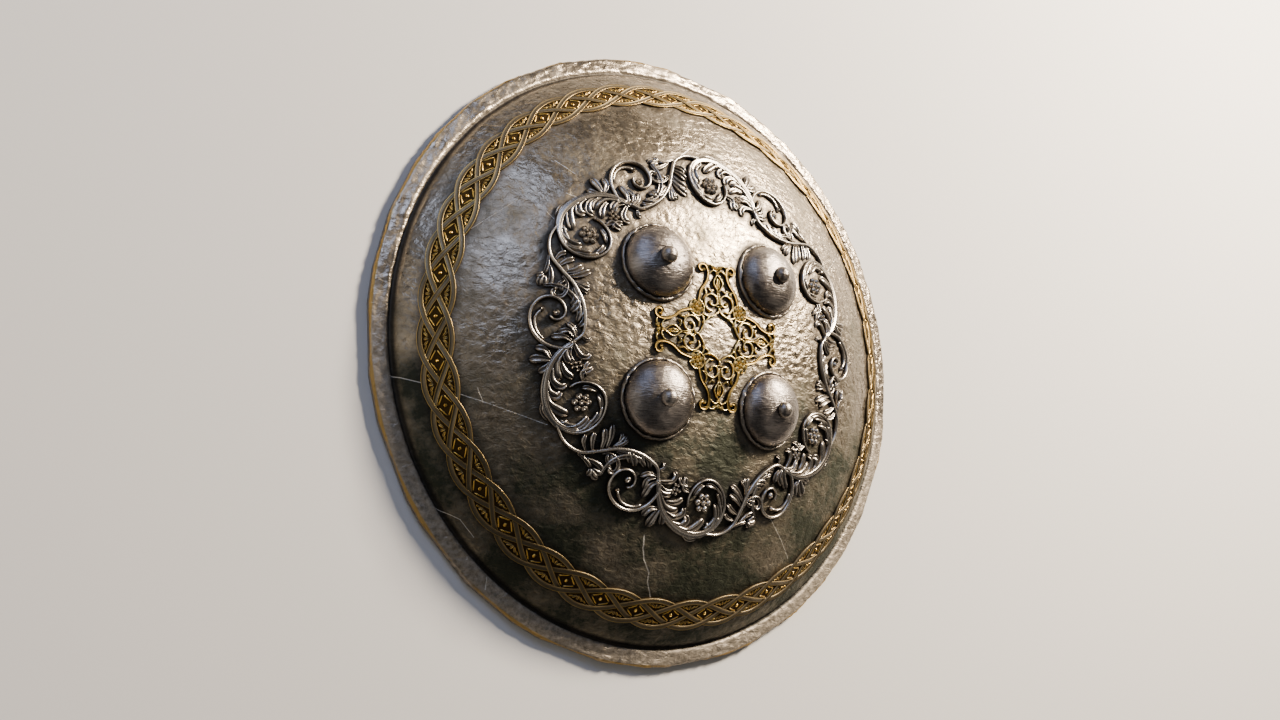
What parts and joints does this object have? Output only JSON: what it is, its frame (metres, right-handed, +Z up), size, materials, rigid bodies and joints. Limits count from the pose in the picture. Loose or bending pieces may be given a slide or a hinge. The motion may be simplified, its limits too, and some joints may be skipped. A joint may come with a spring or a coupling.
{
  "type": "buckler shield",
  "caption": "Round domed steel shield with a gilt plaited border, a garland of scrolls, an openwork cross between domed bosses, and leather grip straps inside.",
  "frame": {"origin": "centre of the rim's underside, the plane the shield lies on", "axes": "+Z up, the way the face looks when the shield lies on its rim; +X and +Y each run between two bosses, and the grip straps run along Y"},
  "size_m": [0.45, 0.45, 0.0934],
  "materials": {
    "hammered_steel": "aged, hammered and half polished",
    "gilt_brass": "worn gilt with dark recesses",
    "dark_steel": "dark, polished on its ridges",
    "boss_steel": "dark, brushed and scratched",
    "brown_leather": "worn and oiled"
  },
  "bodies": {
    "root": {"plate": "hammered_steel", "gilt_border": "gilt_brass", "scroll_garland": "dark_steel", "openwork_cross": "gilt_brass", "boss_1": "boss_steel", "rivet_1": "boss_steel", "boss_2": "boss_steel", "rivet_2": "boss_steel", "boss_3": "boss_steel", "rivet_3": "boss_steel", "boss_4": "boss_steel", "rivet_4": "boss_steel", "grip_strap_right": "brown_leather", "grip_strap_left": "brown_leather"}
  },
  "joints": []
}
